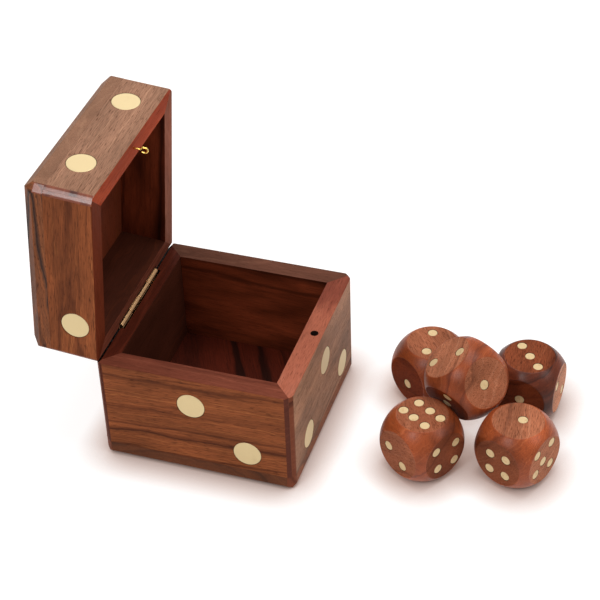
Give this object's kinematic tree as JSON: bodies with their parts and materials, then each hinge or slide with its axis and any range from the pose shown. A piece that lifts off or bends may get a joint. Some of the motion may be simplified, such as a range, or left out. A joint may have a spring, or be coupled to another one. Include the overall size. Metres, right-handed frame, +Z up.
{
  "type": "dice box",
  "caption": "Square hinged wooden box opened like a large die, with brass discs let into its faces, a wire catch, and a set of rounded wooden dice with brass pips.",
  "frame": {"origin": "centre of the box's square footprint, on the surface it stands on", "axes": "+Z up; +Y to the back, where the hinge is; -Y to the front, where the catch is; +X to the box's right as seen from the front. The rest pose is the picture's: lid open 85.5 degrees, dice grouped in front of the box."},
  "size_m": [0.0855, 0.1942, 0.123],
  "materials": {
    "wood_front": "open-pored brown wood, satin",
    "wood_side": "streaked red-brown wood, satin",
    "wood_back": "streaked red-brown wood, satin",
    "wood_floor": "dark red-brown wood, satin",
    "wood_lid_top": "streaked red-brown wood, satin",
    "wood_dice": "red-brown wood, satin",
    "brass_disc": "pale brass, satin, sanded flush",
    "brass_pip": "pale brass, satin, sanded flush",
    "brass_hinge": "brown aged brass",
    "brass_wire": "bright brass wire"
  },
  "bodies": {
    "box": {"base_board": "wood_floor", "box_front_board": "wood_front", "box_back_board": "wood_back", "box_left_board": "wood_side", "box_right_board": "wood_side", "box_front_discs": "brass_disc", "box_back_disc": "brass_disc", "box_left_discs": "brass_disc", "box_right_discs": "brass_disc", "hinge_lower_leaf": "brass_hinge", "hinge_pin": "brass_hinge"},
    "lid": {"lid_top_board": "wood_lid_top", "lid_front_board": "wood_front", "lid_back_board": "wood_back", "lid_left_board": "wood_side", "lid_right_board": "wood_side", "lid_front_discs": "brass_disc", "lid_back_disc": "brass_disc", "lid_left_disc": "brass_disc", "lid_right_discs": "brass_disc", "lid_top_disc": "brass_disc", "hinge_upper_leaf": "brass_hinge", "catch_eye": "brass_wire"},
    "die_back_left": {"die_back_left": "wood_dice", "die_back_left_pips": "brass_pip"},
    "die_back_right": {"die_back_right": "wood_dice", "die_back_right_pips": "brass_pip"},
    "die_front_left": {"die_front_left": "wood_dice", "die_front_left_pips": "brass_pip"},
    "die_front_right": {"die_front_right": "wood_dice", "die_front_right_pips": "brass_pip"},
    "die_top": {"die_top": "wood_dice", "die_top_pips": "brass_pip"}
  },
  "joints": [
    {"name": "lid_hinge", "type": "hinge", "parent": "box", "child": "lid", "pos_m": [0, 0.0369, 0.046], "axis": [-1, 0, 0], "range_deg": [-85.5, 0]},
    {"name": "die_back_left_away", "type": "slide", "parent": "box", "child": "die_back_left", "axis": [0.7071, 0.7071, 0], "range_m": [0, 0.03]},
    {"name": "die_back_right_away", "type": "slide", "parent": "box", "child": "die_back_right", "axis": [0.7158, -0.6983, 0], "range_m": [0, 0.03]},
    {"name": "die_front_left_away", "type": "slide", "parent": "box", "child": "die_front_left", "axis": [-0.9021, 0.4315, 0], "range_m": [0, 0.03]},
    {"name": "die_front_right_away", "type": "slide", "parent": "box", "child": "die_front_right", "axis": [-0.5665, -0.824, 0], "range_m": [0, 0.03]},
    {"name": "die_top_lift", "type": "slide", "parent": "box", "child": "die_top", "axis": [0, 0, 1], "range_m": [0, 0.06]}
  ]
}
